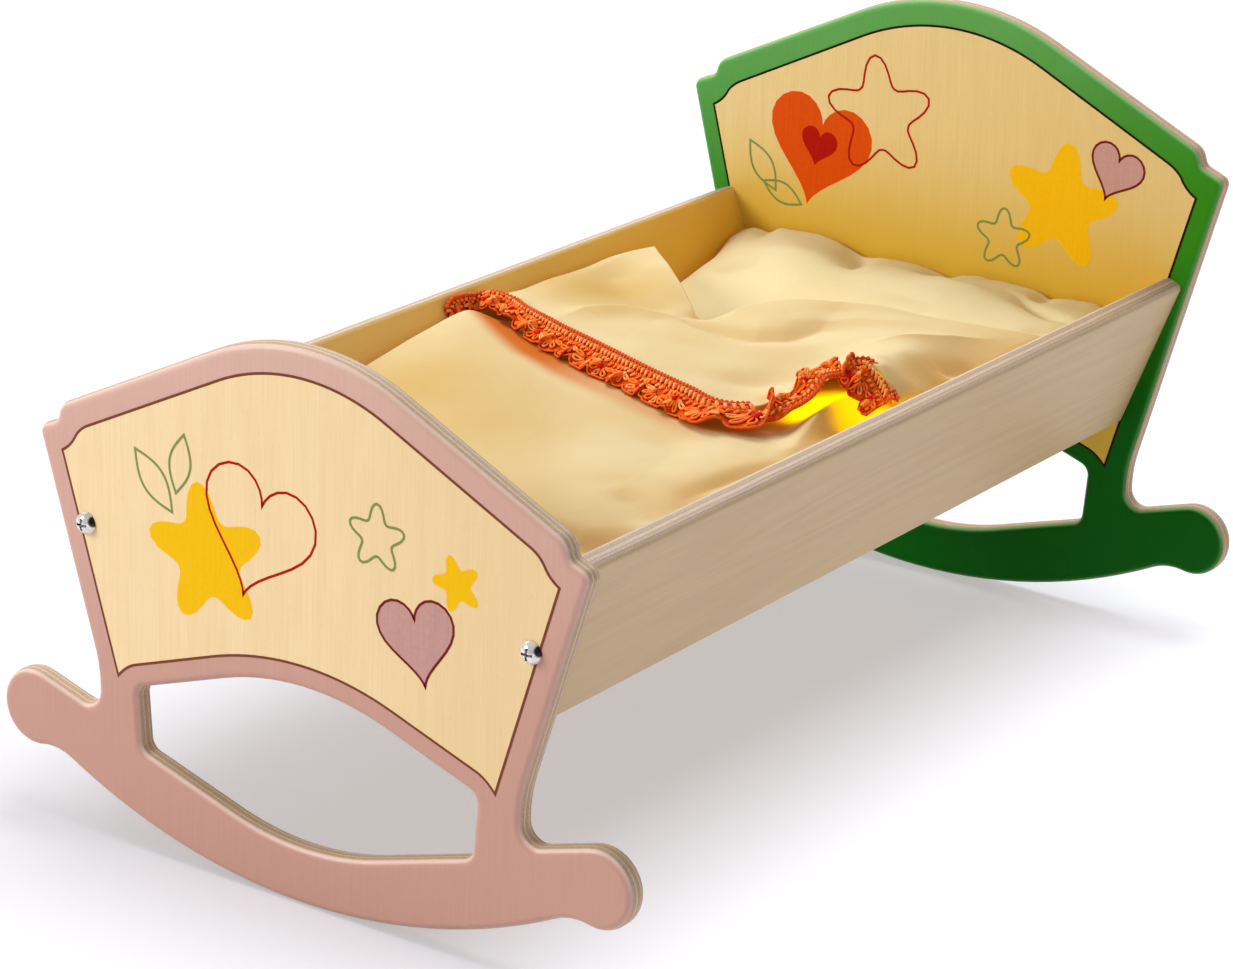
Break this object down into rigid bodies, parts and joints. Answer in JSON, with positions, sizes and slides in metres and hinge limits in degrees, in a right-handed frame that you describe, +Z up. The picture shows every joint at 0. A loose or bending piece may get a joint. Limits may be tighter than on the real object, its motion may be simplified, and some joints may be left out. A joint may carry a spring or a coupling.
{
  "type": "doll cradle",
  "caption": "Rocking doll cradle with shaped end boards on rockers, flared side boards, a mattress, a pillow and a folded quilt with a lace edge.",
  "frame": {"origin": "on the floor under the middle of the cradle, at the rockers' lowest line", "axes": "+X across the cradle to the right seen from the foot end, +Y along it from the foot board to the head board, +Z up"},
  "size_m": [0.324, 0.5076, 0.288],
  "materials": {
    "pink_painted_birch": "satin paint border round a clear lacquered panel",
    "green_painted_birch": "satin paint border round a clear lacquered panel",
    "lacquered_birch": "clear satin lacquer",
    "bare_plywood": "unfinished",
    "chrome": "polished",
    "zinc_steel": "zinc plated",
    "beech_dowel": "unfinished",
    "yellow_cotton": "plain woven cotton",
    "foam": "open cell foam",
    "orange_crochet": "crocheted cotton thread"
  },
  "bodies": {
    "cradle_frame": {"foot_board": "pink_painted_birch", "head_board": "green_painted_birch", "side_board_left": "lacquered_birch", "side_board_right": "lacquered_birch", "base_board": "bare_plywood", "connecting_bolt_foot_left": "chrome", "connecting_bolt_foot_right": "chrome", "connecting_bolt_head_left": "chrome", "connecting_bolt_head_right": "chrome", "barrel_nut_foot_left": "zinc_steel", "barrel_nut_foot_right": "zinc_steel", "barrel_nut_head_left": "zinc_steel", "barrel_nut_head_right": "zinc_steel", "dowels_foot_left": "beech_dowel", "dowels_foot_right": "beech_dowel", "dowels_head_left": "beech_dowel", "dowels_head_right": "beech_dowel"},
    "loose_mattress": {"mattress_cover": "yellow_cotton", "mattress_foam": "foam"},
    "loose_pillow": {"pillow": "yellow_cotton"},
    "loose_quilt": {"duvet": "yellow_cotton", "lace_trim": "orange_crochet"}
  },
  "joints": [
    {"name": "mattress_lift", "type": "slide", "parent": "cradle_frame", "child": "loose_mattress", "axis": [0, 0, 1], "range_m": [0, 0.1]},
    {"name": "pillow_lift", "type": "slide", "parent": "loose_mattress", "child": "loose_pillow", "axis": [0, 0, 1], "range_m": [0, 0.08]},
    {"name": "quilt_lift", "type": "slide", "parent": "loose_pillow", "child": "loose_quilt", "axis": [0, 0, 1], "range_m": [0, 0.08]}
  ]
}
